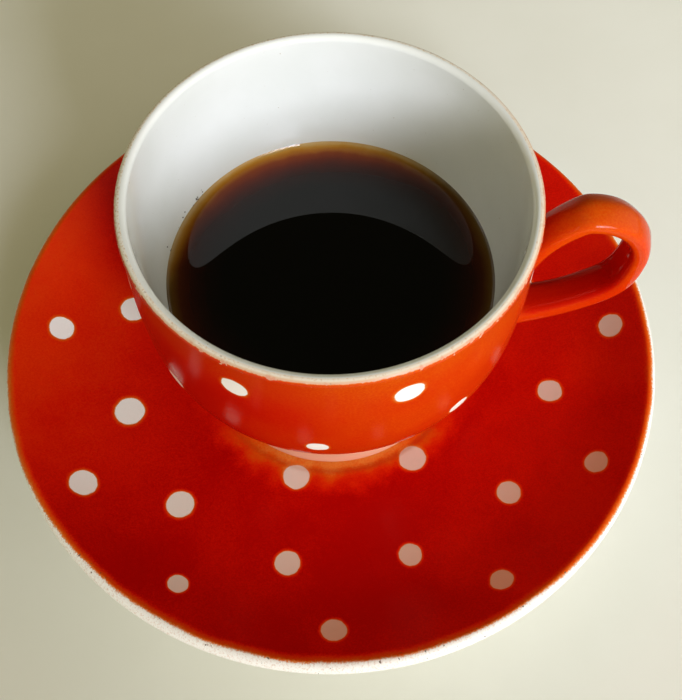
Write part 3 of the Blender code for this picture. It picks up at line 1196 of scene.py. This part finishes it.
# %% Coffee outline
INTO_WALL = 0.4 * MM
BROAD_CLIMB = (1.2 * MM, 2.8 * MM)
STEEP_CLIMB = (0.45 * MM, 0.25 * MM)
STILL_LEVEL = COFFEE_LEVEL - BROAD_CLIMB[0] - STEEP_CLIMB[0]
SURFACE_RINGS = 80


def coffee_outline():
    """The still surface with its climbing edge, then the bowl below."""
    wall = [p for p in inside if p.z < COFFEE_LEVEL]
    reach = wall[-1].x + INTO_WALL
    surface = []
    for i in range(SURFACE_RINGS + 1):
        radius = reach * math.sin(math.pi / 2 * i / SURFACE_RINGS)
        off_wall = max(reach - INTO_WALL - radius, 0.0)
        climb = sum(rise * math.exp(-off_wall / width)
                    for rise, width in (BROAD_CLIMB, STEEP_CLIMB))
        surface.append(Vector((radius, 0.0, STILL_LEVEL + climb)))
    below = [p + Vector((INTO_WALL if p.x > ON_AXIS else 0.0, 0.0, -INTO_WALL))
             for p in reversed(wall)]
    return surface, below


surface, below = coffee_outline()
print("the coffee climbs the wall by", round((COFFEE_LEVEL - STILL_LEVEL) / MM, 2), "mm")

# %% [markdown]
# Black coffee is a clear dark brown. It is black where it is deep and amber where the wall
# lies close behind it, most where that wall is lit. A volume could do this, but it renders
# slowly and the exported model would lose it. So the colour follows the distance to the
# wall, and a very smooth surface does the rest.

# %% Coffee
COFFEE_SEGMENTS = 240
COLOUR_DEPTH = 12.0 * MM
COFFEE_ROUGHNESS = 0.015
COFFEE_IOR = 1.34
SHIFT_CLOUD = (5 * MM, 2.0)
EDGE_SHIFT = (0.3, 0.7, -0.2 * MM, 0.2 * MM)
LIT_BEHIND = (103.0, 0.38 * COFFEE_RADIUS, 0.97 * COFFEE_RADIUS, 0.20, 1.0)
LIT_AT_LEFT = (160.0, 0.86 * COFFEE_RADIUS, COFFEE_RADIUS, 0.20, 0.66)
COFFEE_SHADES = [
    (0.00, (0.0025, 0.0022, 0.0012)),
    (0.30, (0.018, 0.0030, 0.0012)),
    (0.50, (0.055, 0.0055, 0.0010)),
    (0.65, (0.115, 0.0130, 0.0010)),
    (0.775, (0.20, 0.032, 0.0012)),
    (0.875, (0.35, 0.125, 0.008)),
    (0.935, (0.44, 0.21, 0.035)),
    (1.00, (0.52, 0.34, 0.14)),
]


def coffee_finish():
    """Black coffee that turns amber close to the wall, most where the wall is lit."""
    finish, tree, shader, place = new_finish("black_coffee")
    stray = ease(tree, cloud(tree, place, *SHIFT_CLOUD), *EDGE_SHIFT)
    radius = figure(tree, "ADD", distance_out(tree, place), stray)
    near = figure(tree, "MULTIPLY_ADD", radius, 1.0 / COLOUR_DEPTH,
                  1.0 - COFFEE_RADIUS / COLOUR_DEPTH, clamp=True)
    behind = toward(tree, place, *LIT_BEHIND)
    left = toward(tree, place, *LIT_AT_LEFT)
    lit = figure(tree, "MAXIMUM", behind, left)
    feed(tree, shader.inputs["Base Color"], scaled(tree, shades(tree, near, COFFEE_SHADES), lit))
    shader.inputs["Roughness"].default_value = COFFEE_ROUGHNESS
    shader.inputs["IOR"].default_value = COFFEE_IOR
    return finish


coffee = turned("coffee_surface", [(surface, 0), (below, 0)], COFFEE_SEGMENTS)
coffee.data.materials.append(coffee_finish())
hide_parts("coffee")
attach(coffee, "root")
print("coffee faces:", len(coffee.data.polygons))

# %% [markdown]
# A few fine grounds stay on the wall above the coffee, at the left, where the cup was last
# tilted. Painted specks would stay flat, so each is a small uneven lump, half sunk in the
# wall. All of them are one piece, because nobody would ever move one alone.

# %% Coffee grounds
GROUNDS = 16
GROUNDS_SPAN = (142.0, 172.0)
GROUNDS_RISE = (-0.2 * MM, 2.4 * MM)
CRUMB_SIZE = (0.09, 0.24)
CRUMB_SUNK = 0.3
CRUMB_WIDTH = (0.6, 1.4)
CRUMB_HEIGHT = (0.6, 1.2)
GROUNDS_SHADES = [(0.3, (0.02, 0.010, 0.006)), (0.7, (0.07, 0.035, 0.018))]
GROUNDS_CLOUD = (0.3 * MM, 2.0)
GROUNDS_DEPTH = 0.05 * MM
GROUNDS_ROUGHNESS = 0.35


def add_grounds():
    """Fine grounds left on the wall just above the coffee, at the left."""
    stray = random.Random(11)
    form = bmesh.new()
    for i in range(GROUNDS):
        angle = stray.uniform(*GROUNDS_SPAN)
        height = COFFEE_LEVEL + stray.uniform(*GROUNDS_RISE) * stray.random()
        size = stray.uniform(*CRUMB_SIZE) * MM
        reach = radius_at(inside, height) - CRUMB_SUNK * size
        place = Matrix.Translation(at(reach, angle, height))
        stretch = Matrix.Diagonal((size, size * stray.uniform(*CRUMB_WIDTH),
                                   size * stray.uniform(*CRUMB_HEIGHT), 1.0))
        bmesh.ops.create_icosphere(form, subdivisions=1, radius=1.0, matrix=place @ stretch)
    return made_of("coffee_grounds", form)


def grounds_finish():
    """Wet dark brown, a little uneven from grain to grain."""
    finish, tree, shader, place = new_finish("wet_grounds")
    grain = cloud(tree, place, *GROUNDS_CLOUD)
    feed(tree, shader.inputs["Base Color"], shades(tree, grain, GROUNDS_SHADES))
    shader.inputs["Roughness"].default_value = GROUNDS_ROUGHNESS
    feed(tree, shader.inputs["Normal"], relief(tree, grain, GROUNDS_DEPTH))
    return finish


grounds = add_grounds()
grounds.data.materials.append(grounds_finish())
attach(grounds, "root")
print("grains on the wall:", GROUNDS)
